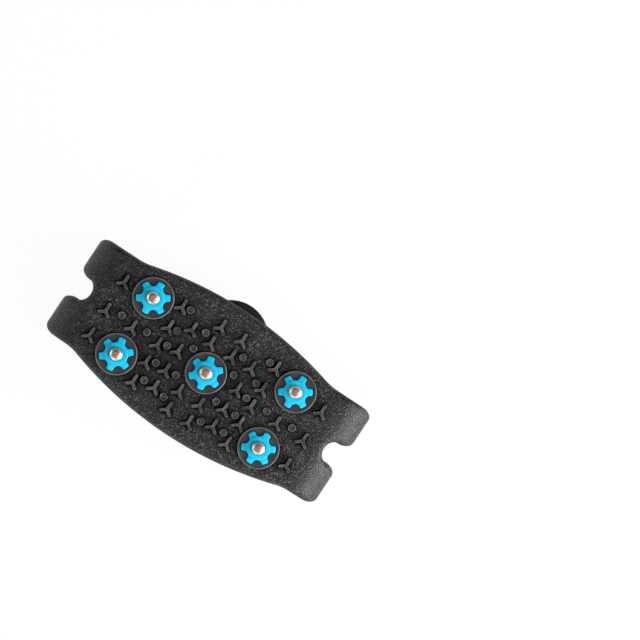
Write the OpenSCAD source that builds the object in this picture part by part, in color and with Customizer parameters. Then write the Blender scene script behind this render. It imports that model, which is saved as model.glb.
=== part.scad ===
// Ice cleat: a stretch-rubber sole plate with five round stud units and a four-band harness.
// Millimetres. The origin is the middle of the shoe-side face, X runs across the shoe to the two horned ends,
// Y runs along the shoe, and +Z points out of the tread to the tips of the studs.

/* [Sole plate] */
// Thickness of the rubber sole plate
plate_t = 4; // [3.6:0.1:5]
// Width across the two curved long edges at the middle
plate_w = 57; // [54:0.5:62]
// Radius of the two curved long edges
side_r = 156; // [130:2:200]
// Width of the plate at the horned ends
end_w = 43; // [40:0.5:46]
// Length of the flat middle between the two end bends
flat_l = 102; // [100:1:112]
// Rounding of the edges on the ground side
edge_r = 2.2; // [1:0.1:2.4]
// Rounding of the edges on the shoe side
shoe_edge_r = 0.8; // [0.4:0.1:1]

/* [End bends] */
// Offset of the two horned ends along the shoe, towards the instep disc
end_y = 0.9; // [0:0.1:1.5]
// Outer radius of the end bends
bend_r = 12; // [10.5:0.5:15]
// Angle that the plate itself turns at each end before the bands take over
plate_turn = 48; // [46:1:58]
// Radius of the notch between the two horns of an end
notch_r = 4.3; // [3.2:0.1:5]
// Angle round the bend at which the notch is centred
notch_turn = 40; // [36:1:44]

/* [Tread] */
// Height of the three-armed lugs
lug_h = 1.8; // [1:0.1:2.4]
// Reach of a lug arm from the middle of the lug
lug_reach = 3.2; // [2.2:0.1:3.4]
// Width of a lug arm
lug_w = 1.4; // [0.8:0.1:1.5]
// Angle between the arm of a lug that points along the shoe and each of the other two
lug_split = 127; // [118:1:130]
// Diameter of the round core in which the arms of a lug meet
lug_core_d = 1.8; // [1.6:0.1:2.4]
// Height of the round pips
pip_h = 1.6; // [0.8:0.1:2.2]
// Diameter of the round pips
pip_d = 3.2; // [2.2:0.1:3.4]
// Depth of the dish in the top of a pip
pip_dish = 0.25; // [0.1:0.05:0.5]
// Spacing of the tread across the shoe, from the middle to the last row of lugs
tread_x = 45.7; // [44.5:0.1:46.2]
// Spacing of the tread along the shoe, from the middle to the outermost lug
tread_y = 20; // [18.5:0.1:21]

/* [Stud layout] */
// Distance between the outer studs across the shoe
stud_dx = 66; // [64:0.5:68]
// Distance between the outer studs along the shoe
stud_dy = 26; // [25:0.5:27]

/* [Carrier disc] */
// Diameter of the carrier disc
disc_d = 16.4; // [15.4:0.1:16.8]
// Height of the carrier disc above the plate
disc_h = 1.8; // [1.2:0.1:2.4]
// Width of the rounded lip round the rim of the disc
lip_w = 0.5; // [0.3:0.1:0.7]
// Height of that lip above the face of the disc
lip_h = 0.2; // [0.1:0.05:0.4]
// Diameter of the neck that runs through the plate
neck_d = 9; // [7.5:0.1:10]
// Depth of the shallow seat in the plate under the disc
seat_depth = 0.6; // [0.3:0.1:1]
// Gap round the disc in its seat
seat_gap = 0.3; // [0.2:0.05:0.4]
// Running clearance of the neck in the plate
turn_gap = 0.06; // [0.03:0.01:0.1]
// End clearance between the stud unit and the plate
end_gap = 0.05; // [0.03:0.01:0.1]

/* [Gear insert] */
// Number of teeth on the gear insert
teeth = 6; // [5:1:7]
// Diameter over the tips of the teeth
gear_d = 13.4; // [12.6:0.1:14]
// Diameter of the raised hub of the gear
hub_d = 9.1; // [8.4:0.1:9.3]
// Radius of the round valleys between the teeth
valley_r = 1.85; // [1.5:0.05:1.95]
// Diameter across the floors of the valleys
valley_d = 9.2; // [9.1:0.1:10]
// Height of the teeth above the carrier disc
tooth_h = 0.8; // [0.4:0.1:1.4]
// Height of the hub above the teeth
hub_h = 0.4; // [0.2:0.1:0.8]
// Depth of the pocket in the carrier disc that holds the gear
pocket_depth = 0.9; // [0.6:0.1:1.2]
// Clearance round and under the gear, the spike and the tip where they are set in
set_gap = 0.04; // [0.02:0.01:0.08]

/* [Spike, tip and washer] */
// Diameter of the collar of the spike
collar_d = 5.1; // [4.6:0.1:5.6]
// Thickness of the collar
collar_t = 0.9; // [0.6:0.1:1.4]
// Depth that the collar is let into the hub
collar_sink = 0.4; // [0.2:0.1:0.6]
// Diameter of the straight part of the nose
nose_d = 4.8; // [4:0.1:5]
// Diameter of the nose at its end
nose_end_d = 3; // [2.8:0.1:3.5]
// Length of the nose
nose_l = 2.9; // [2.2:0.1:4]
// Length of the cone at the end of the nose
cone_l = 1.3; // [0.6:0.1:2]
// Diameter of the hard tip
tip_d = 2.5; // [1.8:0.1:2.6]
// Length of the tip that stands out of the nose
tip_out = 0.5; // [0.2:0.1:1]
// Depth of the socket for the tip in the nose
tip_socket = 2; // [1:0.1:3]
// Diameter of the shank of the spike
shank_d = 3.8; // [3:0.1:4.2]
// Diameter of the riveted end of the shank
rivet_d = 5.4; // [4.6:0.1:6]
// Diameter of the backing washer
washer_d = 12; // [10.5:0.1:13]
// Thickness of the backing washer
washer_t = 1.2; // [1:0.1:1.4]
// Depth of the washer below the shoe-side face
washer_sink = 0.15; // [0.1:0.05:0.3]
// Gap round the washer in the plate
washer_gap = 0.3; // [0.2:0.05:0.5]

/* [Harness] */
// Thickness of the harness bands
band_t = 3.2; // [2.4:0.1:3.6]
// Width of the harness bands
band_w = 10.6; // [8.5:0.1:11.5]
// Distance of the bands from the middle of the plate at the bend
band_lane = 13.5; // [12.5:0.1:14]
// Diameter of the instep disc
instep_d = 29.2; // [27:0.2:34]
// Rounding of the rim of the instep disc
instep_edge_r = 0.8; // [0.4:0.1:1.2]
// Place of the instep disc along the shoe, off the middle of the plate
instep_y = 16.3; // [10:0.1:18]
// Angle at which the front bands meet the instep disc
front_angle = 12; // [8:1:20]
// Angle at which the rear bands meet the instep disc
rear_angle = -38; // [-44:1:-34]

/* [Hidden] */

$fn = 64;
over = 1;

rubber_colour = [0.10, 0.10, 0.105];
carrier_colour = [0.07, 0.06, 0.075];
gear_colour = [0.05, 0.62, 0.80];
steel_colour = [0.78, 0.79, 0.80];
tip_colour = [0.42, 0.40, 0.37];
washer_colour = [0.66, 0.67, 0.68];

// Bend centres and the floor that the harness lies on
bend_x = flat_l / 2;
bend_z = plate_t - bend_r;
floor_z = plate_t - 2 * bend_r;

// Root of the bend inside the flat, and the hair by which the bend is set in there
bend_root = 4;
bend_inset = 0.04;

// Places and turns of the five stud units: four corners and the middle
stud_at = [
    [-stud_dx / 2, stud_dy / 2],
    [-stud_dx / 2, -stud_dy / 2],
    [0, 0],
    [stud_dx / 2, stud_dy / 2],
    [stud_dx / 2, -stud_dy / 2]
];
stud_turn = [2, 10, 13, 2, -2];

// Levels of a stud unit above the shoe-side face
seat_z = plate_t - seat_depth;
disc_base_z = seat_z + end_gap;
disc_top_z = plate_t + disc_h;
pocket_z = disc_top_z - pocket_depth;
tooth_top_z = disc_top_z + tooth_h;
hub_top_z = tooth_top_z + hub_h;
collar_z = hub_top_z - collar_sink;
nose_z = collar_z + collar_t;
nose_top_z = nose_z + nose_l;
washer_z = washer_sink;
washer_top_z = washer_z + washer_t;
neck_end_z = washer_top_z + set_gap;
washer_bore_z = washer_top_z + end_gap;

// Radii of the plate's holes for a stud unit
seat_r = disc_d / 2 + seat_gap;
bore_r = neck_d / 2 + turn_gap;
recess_r = washer_d / 2 + washer_gap;

// Rows of tread on one half, as shares of the two tread spacings: distance across, then places along
lug_rows = [
    [0.105, [0.895, 0.523, -0.597, -1]],
    [0.298, [0.547, 0.043, -0.397, -0.795]],
    [0.476, [0.805, 0.328, -0.077, -0.48, -0.937]],
    [0.733, [-0.07]],
    [1, [0.588, -0.065, -0.637]]
];
pip_rows = [
    [0.189, [0.65, -0.835]],
    [0.204, [0.265, -0.35]],
    [0.403, [0.855, 0.37, 0.03, -0.37, -0.775]],
    [0.608, [0.03]],
    [0.864, [0.035]]
];

// Turn of a lug and of a gear at rest: one arm and one tooth point along the shoe
lug_turn = 90;
gear_turn = 90;

// Band sweep: stations round the bend, stations along the floor and steps in each rounded corner
bend_steps = 12;
floor_steps = 14;
corner_steps = 3;
band_corner_r = 0.9;
// Rounding of a band's edge where it leaves the notch
notch_edge_r = 0.2;
// Share of the bend in which a horn narrows to the width of the band
taper_share = 0.42;
// Sideways drift of a band round the bend, towards the instep disc
front_drift = 0;
rear_drift = 0.9;
// Straight runs of a band where it leaves the bend and where it meets the instep disc
leave_run = 15;
meet_run = instep_d / 2 + 13;
// Depth to which a band is swept into the instep disc before it is trimmed to the rim
band_bury = 4;

function mix(a, b, k) = a + (b - a) * k;
function ease(k) = let (c = max(0, min(1, k))) c * c * (3 - 2 * c);
function flat(lists) = [for (one = lists) for (item = one) item];

// Rounded-corner strip section, from edge lo to edge hi across and from 0 to t outwards.
// The four radii are shoe side low, ground side low, ground side high and shoe side high.
function strip_section(lo, hi, t, radii) = flat([
    for (c = [0:3])
        let (
            r = radii[c],
            mid = [c < 2 ? lo + r : hi - r, (c == 0 || c == 3) ? r : t - r],
            start = [270, 180, 90, 0][c]
        )
        [for (s = [0:corner_steps])
            let (a = start - 90 * s / corner_steps)
            mid + r * [cos(a), sin(a)]]
]);

function bezier(p, k) =
    p[0] * pow(1 - k, 3) + p[1] * 3 * k * pow(1 - k, 2) + p[2] * 3 * k * k * (1 - k) + p[3] * pow(k, 3);
function bezier_dir(p, k) =
    let (d = (p[1] - p[0]) * pow(1 - k, 2) + (p[2] - p[1]) * 2 * k * (1 - k) + (p[3] - p[2]) * k * k)
    d / norm(d);

// One ring of a band in the bend, at share k of the turn left after the plate's own
function bend_ring(lane_sign, drift, k) =
    let (
        turn = mix(plate_turn, 180, k),
        narrow = ease(k / taper_share),
        t = mix(plate_t, band_t, narrow),
        slip = end_y + drift * ease(k),
        near = lane_sign * mix(notch_r, band_lane - band_w / 2, narrow) + slip,
        far = lane_sign * mix(end_w / 2, band_lane + band_w / 2, narrow) + slip,
        near_r = mix(notch_edge_r, band_corner_r, narrow),
        ground_r = mix(edge_r, band_corner_r, narrow),
        shoe_r = mix(shoe_edge_r, band_corner_r, narrow),
        radii = lane_sign > 0
            ? [near_r, near_r, ground_r, shoe_r]
            : [shoe_r, ground_r, near_r, near_r]
    )
    [for (q = strip_section(min(near, far), max(near, far), t, radii))
        let (r = bend_r - t + q[1])
        [bend_x + r * sin(turn), q[0], bend_z + r * cos(turn)]];

// One ring of a band on the floor, at share k of its run to the instep disc
function floor_ring(route, k) =
    let (
        mid = bezier(route, k),
        dir = bezier_dir(route, k),
        side = [dir[1], -dir[0]],
        c = band_corner_r
    )
    [for (q = strip_section(-band_w / 2, band_w / 2, band_t, [c, c, c, c]))
        [mid[0] + side[0] * q[0], mid[1] + side[1] * q[0], floor_z + band_t - q[1]]];

// Plan route of a band from the end of the bend to a point inside the instep disc
function band_route(lane_sign, drift, angle) =
    let (
        start = [bend_x, lane_sign * band_lane + end_y + drift],
        out = [cos(angle), sin(angle)],
        hub = [0, instep_y]
    )
    [start, start - [leave_run, 0], hub + out * meet_run, hub + out * (instep_d / 2 - band_bury)];

// Rectangle w by h that stands on the x axis, with both lower corners rounded to r
module round_foot(w, h, r) {
    translate([-w / 2 + r, 0])
        square([w - 2 * r, h]);
    translate([-w / 2, r])
        square([w, h - r]);
    for (s = [-1, 1])
        translate([s * (w / 2 - r), r])
            circle(r);
}

// Profile of a strip across: rounded more on the ground side than on the shoe side
module strip_profile(w, t) {
    intersection() {
        round_foot(w, t, shoe_edge_r);
        translate([0, t])
            mirror([0, 1])
                round_foot(w, t + over, edge_r);
    }
}

// Large round slab with the plate's edge rounding on its rim
module side_slab() {
    rotate_extrude($fn = 360)
        intersection() {
            strip_profile(2 * side_r, plate_t);
            square([side_r + over, plate_t + over]);
        }
}

// Flat middle of the plate: the overlap of two round slabs, with the narrower strip to the ends
module plate_flat() {
    shift = side_r - plate_w / 2;
    intersection() {
        translate([0, -shift, 0])
            side_slab();
        translate([0, shift, 0])
            side_slab();
        translate([-flat_l / 2, -plate_w, -over])
            cube([flat_l, 2 * plate_w, plate_t + 2 * over]);
    }
    translate([-flat_l / 2, end_y, 0])
        rotate([90, 0, 90])
            linear_extrude(flat_l)
                strip_profile(end_w, plate_t);
}

// Right-hand bend of the plate: the end strip turned about the bend's axis, rooted inside the flat
module plate_bend() {
    translate([bend_x, end_y, bend_z])
        rotate([90, 0, 0])
            rotate([0, 0, 90 - plate_turn])
                rotate_extrude(angle = plate_turn + bend_root)
                    translate([bend_r - plate_t + bend_inset, 0])
                        rotate(-90)
                            strip_profile(end_w - 2 * bend_inset, plate_t - 2 * bend_inset);
}

// Cutter for the right-hand notch: a round floor square to the bend and a parallel mouth
module notch_cut() {
    translate([bend_x, end_y, bend_z])
        rotate([0, notch_turn, 0]) {
            cylinder(r = notch_r, h = bend_r + over);
            translate([0, -notch_r, 0])
                cube([bend_r + over, 2 * notch_r, bend_r + over]);
        }
}

// Flat outline of a three-armed lug
module lug_outline() {
    circle(d = lug_core_d);
    for (a = [0, lug_split, -lug_split])
        rotate(a) {
            translate([0, -lug_w / 2])
                square([lug_reach - lug_w / 2, lug_w]);
            translate([lug_reach - lug_w / 2, 0])
                circle(d = lug_w);
        }
}

// Copies of a tread shape at both mirrored places of every row
module tread_rows(rows) {
    for (row = rows)
        for (along = row[1])
            for (s = [-1, 1])
                translate([s * row[0] * tread_x, along * tread_y])
                    children();
}

// Round pip with a dished top
module pip() {
    rim = pip_d * 0.62;
    difference() {
        cylinder(d = pip_d, h = plate_t / 2 + pip_h);
        translate([0, 0, plate_t / 2 + pip_h - pip_dish])
            cylinder(d1 = rim * 0.4, d2 = rim, h = pip_dish + 0.01);
    }
}

// Stepped hole for one stud unit, which also clears the tread round the disc
module stud_hole() {
    translate([0, 0, -over])
        cylinder(r = bore_r, h = plate_t + 2 * over);
    translate([0, 0, seat_z])
        cylinder(r = seat_r, h = seat_depth + lug_h + pip_h);
    translate([0, 0, -over])
        cylinder(r = recess_r, h = washer_bore_z + over);
}

module sole_plate() {
    color(rubber_colour)
        difference() {
            union() {
                plate_flat();
                plate_bend();
                mirror([1, 0, 0])
                    plate_bend();
                translate([0, 0, plate_t / 2]) {
                    linear_extrude(plate_t / 2 + lug_h)
                        tread_rows(lug_rows)
                            rotate(lug_turn)
                                lug_outline();
                    tread_rows(pip_rows)
                        pip();
                }
            }
            for (at = stud_at)
                translate(at)
                    stud_hole();
            notch_cut();
            mirror([1, 0, 0])
                notch_cut();
        }
}

// Right-hand band, swept from the plate's end face round the bend and along the floor
module right_band(lane_sign, drift, angle) {
    route = band_route(lane_sign, drift, angle);
    rings = concat(
        [for (i = [0:bend_steps]) bend_ring(lane_sign, drift, i / bend_steps)],
        [for (i = [1:floor_steps]) floor_ring(route, i / floor_steps)]
    );
    n = len(rings[0]);
    last = len(rings) - 1;
    sides = flat([
        for (i = [0:last - 1])
            flat([
                for (j = [0:n - 1])
                    let (
                        a = i * n + j,
                        b = i * n + (j + 1) % n
                    )
                    [[a, a + n, b], [b, a + n, b + n]]
            ])
    ]);
    first_cap = [[for (j = [0:n - 1]) j]];
    last_cap = [[for (j = [n - 1:-1:0]) last * n + j]];
    difference() {
        polyhedron(points = flat(rings), faces = concat(first_cap, sides, last_cap));
        translate([0, instep_y, floor_z - over])
            cylinder(d = instep_d, h = band_t + 2 * over);
    }
}

module band(mirrored, lane_sign) {
    drift = lane_sign > 0 ? front_drift : rear_drift;
    angle = lane_sign > 0 ? front_angle : rear_angle;
    color(rubber_colour) {
        if (mirrored)
            mirror([1, 0, 0])
                right_band(lane_sign, drift, angle);
        else
            right_band(lane_sign, drift, angle);
    }
}

module instep_disc() {
    r = instep_d / 2;
    e = instep_edge_r;
    color(rubber_colour)
        translate([0, instep_y, floor_z])
            rotate_extrude() {
                square([r - e, band_t]);
                translate([0, e])
                    square([r, band_t - 2 * e]);
                for (h = [e, band_t - e])
                    translate([r - e, h])
                        circle(e);
            }
}

// Places a stud piece at its hole with the turn that the unit has
module at_stud(i) {
    translate(stud_at[i])
        rotate(stud_turn[i])
            children();
}

// Flat outline of the gear: a round blank with round valleys that open outwards along the teeth
module gear_outline(grow) {
    half_pitch = 180 / teeth;
    valley_at = valley_d / 2 + valley_r;
    r = valley_r - grow;
    mouth = r * [-sin(half_pitch), cos(half_pitch)];
    flare = mouth + gear_d * [cos(half_pitch), sin(half_pitch)];
    difference() {
        circle(gear_d / 2 + grow);
        for (i = [0:teeth - 1])
            rotate((i + 0.5) * 360 / teeth + gear_turn)
                translate([valley_at, 0]) {
                    circle(r);
                    polygon([mouth, flare, [flare[0], -flare[1]], [mouth[0], -mouth[1]]]);
                }
    }
}

// Carrier disc: flange with a rounded lip, neck through the plate and a pocket for the gear
module stud_disc(i) {
    r = disc_d / 2;
    lip_z = disc_top_z + lip_h - lip_w / 2;
    color(carrier_colour)
        at_stud(i)
            difference() {
                union() {
                    rotate_extrude() {
                        translate([0, disc_base_z])
                            square([r - lip_w / 2, disc_top_z - disc_base_z]);
                        translate([r - lip_w, disc_base_z])
                            square([lip_w, lip_z - disc_base_z]);
                        translate([r - lip_w / 2, lip_z])
                            circle(d = lip_w);
                    }
                    translate([0, 0, neck_end_z])
                        cylinder(d = neck_d, h = pocket_z - neck_end_z);
                }
                translate([0, 0, pocket_z])
                    linear_extrude(pocket_depth + over)
                        gear_outline(set_gap);
                translate([0, 0, neck_end_z - over])
                    cylinder(d = shank_d + 2 * set_gap, h = disc_top_z);
            }
}

// Gear insert: toothed plate with a raised hub and a counterbore for the collar
module stud_gear(i) {
    base = pocket_z + set_gap;
    color(gear_colour)
        at_stud(i)
            difference() {
                union() {
                    translate([0, 0, base])
                        linear_extrude(tooth_top_z - base)
                            gear_outline(0);
                    translate([0, 0, base])
                        cylinder(d = hub_d, h = hub_top_z - base);
                }
                translate([0, 0, base - over])
                    cylinder(d = shank_d + 2 * set_gap, h = hub_top_z);
                translate([0, 0, collar_z - set_gap])
                    cylinder(d = collar_d + 2 * set_gap, h = hub_h + collar_sink + over);
            }
}

// Steel spike: riveted end, shank, collar and tapered nose with a socket for the tip
module stud_spike(i) {
    rivet_z = washer_z + set_gap;
    rivet_top_z = washer_z + washer_t / 2;
    color(steel_colour)
        at_stud(i)
            difference() {
                rotate_extrude()
                    polygon([
                        [0, rivet_z],
                        [rivet_d / 2, rivet_z],
                        [shank_d / 2, rivet_top_z],
                        [shank_d / 2, collar_z],
                        [collar_d / 2, collar_z],
                        [collar_d / 2, nose_z],
                        [nose_d / 2, nose_z],
                        [nose_d / 2, nose_top_z - cone_l],
                        [nose_end_d / 2, nose_top_z],
                        [0, nose_top_z]
                    ]);
                translate([0, 0, nose_top_z - tip_socket])
                    cylinder(d = tip_d + 2 * set_gap, h = tip_socket + over);
            }
}

// Hard tip: a pin with a chamfered end, set in the socket of the nose
module stud_tip(i) {
    chamfer = min(0.3, tip_out);
    foot = nose_top_z - tip_socket + set_gap;
    top = nose_top_z + tip_out;
    color(tip_colour)
        at_stud(i)
            rotate_extrude()
                polygon([
                    [0, foot],
                    [tip_d / 2, foot],
                    [tip_d / 2, top - chamfer],
                    [tip_d / 2 - chamfer, top],
                    [0, top]
                ]);
}

// Backing washer: a ring with a countersink for the riveted end of the shank
module stud_washer(i) {
    hole_r = shank_d / 2 + set_gap;
    sink_r = rivet_d / 2 + set_gap;
    sink_z = washer_z + washer_t / 2 + set_gap;
    color(washer_colour)
        at_stud(i)
            rotate_extrude()
                polygon([
                    [sink_r, washer_z],
                    [washer_d / 2, washer_z],
                    [washer_d / 2, washer_top_z],
                    [hole_r, washer_top_z],
                    [hole_r, sink_z],
                    [sink_r, washer_z + set_gap]
                ]);
}

sole_plate();
instep_disc();
band(true, 1);  // band_left_front
band(true, -1);  // band_left_rear
band(false, 1);  // band_right_front
band(false, -1);  // band_right_rear
stud_disc(0);  // stud_1_disc
stud_gear(0);  // stud_1_gear
stud_spike(0);  // stud_1_spike
stud_tip(0);  // stud_1_tip
stud_washer(0);  // stud_1_washer
stud_disc(1);  // stud_2_disc
stud_gear(1);  // stud_2_gear
stud_spike(1);  // stud_2_spike
stud_tip(1);  // stud_2_tip
stud_washer(1);  // stud_2_washer
stud_disc(2);  // stud_3_disc
stud_gear(2);  // stud_3_gear
stud_spike(2);  // stud_3_spike
stud_tip(2);  // stud_3_tip
stud_washer(2);  // stud_3_washer
stud_disc(3);  // stud_4_disc
stud_gear(3);  // stud_4_gear
stud_spike(3);  // stud_4_spike
stud_tip(3);  // stud_4_tip
stud_washer(3);  // stud_4_washer
stud_disc(4);  // stud_5_disc
stud_gear(4);  // stud_5_gear
stud_spike(4);  // stud_5_spike
stud_tip(4);  // stud_5_tip
stud_washer(4);  // stud_5_washer
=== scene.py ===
import math

import bmesh
import bpy
import numpy as np
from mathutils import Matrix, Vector
from mathutils.geometry import delaunay_2d_cdt


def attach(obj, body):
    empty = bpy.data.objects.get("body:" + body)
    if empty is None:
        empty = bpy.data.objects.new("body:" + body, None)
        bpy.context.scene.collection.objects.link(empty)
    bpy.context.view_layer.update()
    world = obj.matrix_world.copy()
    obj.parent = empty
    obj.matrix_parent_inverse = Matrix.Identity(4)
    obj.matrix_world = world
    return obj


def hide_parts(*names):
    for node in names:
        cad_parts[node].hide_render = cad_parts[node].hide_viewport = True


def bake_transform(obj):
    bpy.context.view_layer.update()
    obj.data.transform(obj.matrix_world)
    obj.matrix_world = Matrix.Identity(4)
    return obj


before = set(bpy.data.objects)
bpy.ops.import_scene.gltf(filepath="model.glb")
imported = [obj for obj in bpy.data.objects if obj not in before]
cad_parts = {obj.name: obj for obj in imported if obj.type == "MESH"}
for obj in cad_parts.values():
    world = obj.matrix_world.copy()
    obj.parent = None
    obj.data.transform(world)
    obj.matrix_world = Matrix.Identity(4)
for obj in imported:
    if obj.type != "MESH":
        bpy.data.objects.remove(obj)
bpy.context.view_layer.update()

# Ice cleat. Sizes are in millimetres, as in the CAD model, and become metres when a mesh is made.
MM = 0.001

# Rubber moulding: plate, end bends, bands and instep disc
PLATE_T, PLATE_W, SIDE_R, END_W, END_Y = 4.0, 57.0, 156.0, 43.0, 0.9
BEND_X, BEND_R = 51.0, 12.0
BEND_Z = PLATE_T - BEND_R
FLOOR_Z = PLATE_T - 2 * BEND_R
PLATE_TURN, NOTCH_TURN = math.radians(48), math.radians(40)
NOTCH_R = 4.3
BAND_T, BAND_W, BAND_LANE = 3.2, 10.6, 13.5
INSTEP_R, INSTEP_Y = 14.6, 16.3
FRONT = {"sign": 1, "drift": 0.0, "angle": math.radians(12)}
REAR = {"sign": -1, "drift": 0.9, "angle": math.radians(-38)}
TAPER_SHARE = 0.42
LEAVE_RUN, MEET_RUN, BAND_BURY = 15.0, INSTEP_R + 13.0, 4.0

# Edge roundings: ground side of the plate, lip of the notch, ground side of the bands, shoe side of all
GROUND_R, NOTCH_LIP_R, BAND_R, SHOE_R = 2.2, 2.5, 0.95, 0.85
SIDE_FILLET, INSTEP_FILLET, BAND_FILLET = 0.9, 3.0, 1.0
NOTCH_LIP_REACH, NOTCH_LIP_FADE = 11.0, 4.5

# Unrolled pattern: s runs along the strip from the middle of the plate to the middle of the instep disc
S_NOTCH = BEND_X + BEND_R * NOTCH_TURN
S_FLOOR = BEND_X + BEND_R * math.pi
S_DISC = S_FLOOR + BEND_X
V_LOW, V_HIGH = -31.0, 33.0
FIELD_STEP, RING_STEP, GRID_STEP, GRID_MARGIN = 0.5, 0.7, 1.6, 0.6
BEND_POINTS, RUN_POINTS = 36, 41
GROUND_STEPS, SHOE_STEPS = 6, 4

# Fine distances for working on outlines and meshes; the last two are in metres
SLOPE_STEP, LEAST_SLOPE, EDGE_SLACK, SAME_POINT = 0.02, 0.2, 0.02, 1e-6
INWARD_TRIES = 5
WELD_DISTANCE, SLIVER_DISTANCE = 2e-6, 1e-7

# Tread rows on one half: distance across, then places along
TREAD_X, TREAD_Y = 45.7, 20.0
LUG_ROWS = [
    (0.105, (0.895, 0.523, -0.597, -1.0)),
    (0.298, (0.547, 0.043, -0.397, -0.795)),
    (0.476, (0.805, 0.328, -0.077, -0.48, -0.937)),
    (0.733, (-0.07,)),
    (1.0, (0.588, -0.065, -0.637)),
]
PIP_ROWS = [
    (0.189, (0.65, -0.835)),
    (0.204, (0.265, -0.35)),
    (0.403, (0.855, 0.37, 0.03, -0.37, -0.775)),
    (0.608, (0.03,)),
    (0.864, (0.035,)),
]
LUG_W, LUG_SPLIT, LUG_FILLET, LUG_H = 1.32, math.radians(127), 0.3, 1.8
LUG_REACHES = (3.7, 3.2, 3.2)
PIP_R, PIP_H, PIP_ROUND = 1.6, 1.6, 36

# Stud units
STUDS = [(-33.0, 13.0, 2), (-33.0, -13.0, 10), (0.0, 0.0, 13), (33.0, 13.0, 2), (33.0, -13.0, -2)]
SEAT_R, SEAT_Z, SEAT_LIP = 8.5, 3.4, 0.1
BORE_R, RECESS_R, RECESS_Z, RECESS_LIP = 4.56, 6.3, 1.4, 0.15
SEAT_PROFILE = [
    (SEAT_R + SEAT_LIP, PLATE_T),
    (SEAT_R + 0.3 * SEAT_LIP, PLATE_T - 0.3 * SEAT_LIP),
    (SEAT_R, PLATE_T - SEAT_LIP),
    (SEAT_R, SEAT_Z),
    (BORE_R, SEAT_Z),
    (BORE_R, RECESS_Z),
    (RECESS_R, RECESS_Z),
    (RECESS_R, RECESS_LIP),
    (RECESS_R + 0.3 * RECESS_LIP, 0.3 * RECESS_LIP),
    (RECESS_R + RECESS_LIP, 0.0),
]
ROUND = 96


def mix(a, b, k):
    return a + (b - a) * k


def ease(k):
    c = np.clip(k, 0.0, 1.0)
    return c * c * (3 - 2 * c)


def smooth_min(a, b, k):
    """Smaller of two distances, with the crease between them filled over a width k."""
    h = np.clip(0.5 + 0.5 * (b - a) / k, 0, 1)
    return mix(b, a, h) - k * h * (1 - h)


def bend_share(u):
    """Share of the turn that is left to the bands, at a place along the strip."""
    turn = (u - BEND_X) / BEND_R
    return (turn - PLATE_TURN) / (math.pi - PLATE_TURN)


def narrowing(u):
    return ease(bend_share(u) / TAPER_SHARE)


def thickness(u):
    return mix(PLATE_T, BAND_T, narrowing(u))


def lane_path(lane):
    """Points (s, v, half width) down the middle of one band, from the notch to the instep disc."""
    sign, drift, angle = lane["sign"], lane["drift"], lane["angle"]
    u = np.linspace(S_NOTCH, S_FLOOR, BEND_POINTS)
    narrow = narrowing(u)
    slip = END_Y + drift * ease(bend_share(u))
    near = mix(NOTCH_R, BAND_LANE - BAND_W / 2, narrow)
    far = mix(END_W / 2, BAND_LANE + BAND_W / 2, narrow)
    bend = np.column_stack([u, sign * (near + far) / 2 + slip, (far - near) / 2])
    out = np.array([math.cos(angle), math.sin(angle)])
    hub = np.array([0, INSTEP_Y])
    p0 = np.array([BEND_X, sign * BAND_LANE + END_Y + drift])
    p1 = p0 - [LEAVE_RUN, 0]
    p2 = hub + out * MEET_RUN
    p3 = hub + out * (INSTEP_R - BAND_BURY)
    k = np.linspace(0, 1, RUN_POINTS)[1:, None]
    run = p0 * (1 - k) ** 3 + 3 * p1 * k * (1 - k) ** 2 + 3 * p2 * k * k * (1 - k) + p3 * k ** 3
    floor = np.column_stack([S_DISC - run[:, 0], run[:, 1], np.full(len(run), BAND_W / 2)])
    return np.vstack([bend, floor])


FRONT_PATH, REAR_PATH = lane_path(FRONT), lane_path(REAR)


def lane_distance(s, v, path):
    """Distance to a band of changing width, negative inside."""
    best = np.full(s.shape, np.inf)
    for (s0, v0, w0), (s1, v1, w1) in zip(path[:-1], path[1:]):
        ds, dv = s1 - s0, v1 - v0
        k = np.clip(((s - s0) * ds + (v - v0) * dv) / (ds * ds + dv * dv), 0, 1)
        gap = np.hypot(s - mix(s0, s1, k), v - mix(v0, v1, k)) - mix(w0, w1, k)
        best = np.minimum(best, gap)
    return best


def pattern_distance(s, v):
    """Distance to the outline of the unrolled moulding, negative inside."""
    u = np.abs(s)
    shift = SIDE_R - PLATE_W / 2
    barrel = np.maximum(np.hypot(u, v - shift), np.hypot(u, v + shift)) - SIDE_R
    strip = np.maximum(np.abs(v - END_Y) - END_W / 2, u - S_NOTCH)
    plate = smooth_min(barrel, strip, SIDE_FILLET)
    plate = np.maximum(np.maximum(plate, u - S_NOTCH), NOTCH_R - np.hypot(u - S_NOTCH, v - END_Y))
    disc = np.hypot(u - S_DISC, v - INSTEP_Y) - INSTEP_R
    front = lane_distance(u, v, FRONT_PATH)
    rear = lane_distance(u, v, REAR_PATH)
    front_on_disc = smooth_min(front, disc, INSTEP_FILLET)
    rear_on_disc = smooth_min(rear, disc, INSTEP_FILLET)
    under_plate = smooth_min(front_on_disc, rear_on_disc, BAND_FILLET)
    harness = np.where(u < S_FLOOR, np.minimum(front, rear), under_plate)
    return np.minimum(plate, harness)


def rounding(ground, s, v):
    """Radius of the edge: on the ground side larger on the plate and at the notch than on the bands."""
    u = np.abs(s)
    if not ground:
        return np.full(np.shape(u), SHOE_R)
    notch = ease((NOTCH_LIP_REACH - np.hypot(u - S_NOTCH, v - END_Y)) / NOTCH_LIP_FADE)
    return mix(mix(GROUND_R, NOTCH_LIP_R, notch), BAND_R, narrowing(u))


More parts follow.
